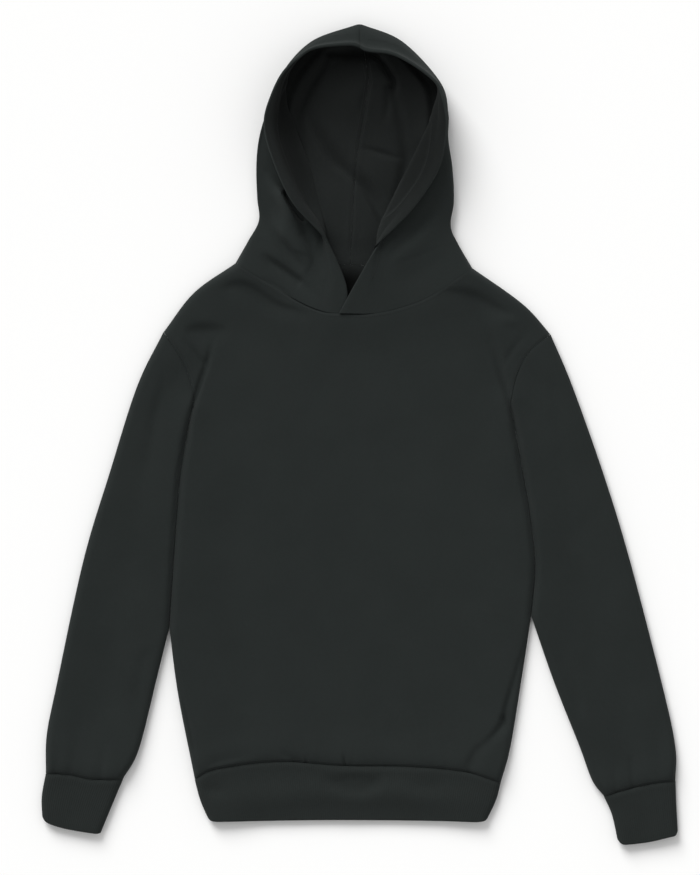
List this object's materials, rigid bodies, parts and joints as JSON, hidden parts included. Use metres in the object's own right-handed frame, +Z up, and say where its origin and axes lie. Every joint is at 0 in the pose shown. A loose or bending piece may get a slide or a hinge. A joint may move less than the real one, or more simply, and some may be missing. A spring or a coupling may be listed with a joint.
{
  "type": "pullover hoodie",
  "caption": "Plain pullover hoodie with an open hood, ribbed cuffs and hem, laid flat on its back with the sleeves down beside the body.",
  "frame": {"origin": "middle of the garment's outline on the surface that it lies on", "axes": "+X to the viewer's right across the shoulders, +Y from hem to hood, +Z up from the surface, out of the front"},
  "size_m": [0.7948, 1.0234, 0.0485],
  "materials": {
    "fleece": "matt",
    "rib": "matt"
  },
  "bodies": {
    "root": {"front_body": "fleece", "back_body": "fleece", "sleeve_left": "fleece", "sleeve_right": "fleece", "cuff_left": "rib", "cuff_right": "rib", "hem_band": "rib", "hood_left": "fleece", "hood_right": "fleece"}
  },
  "joints": []
}
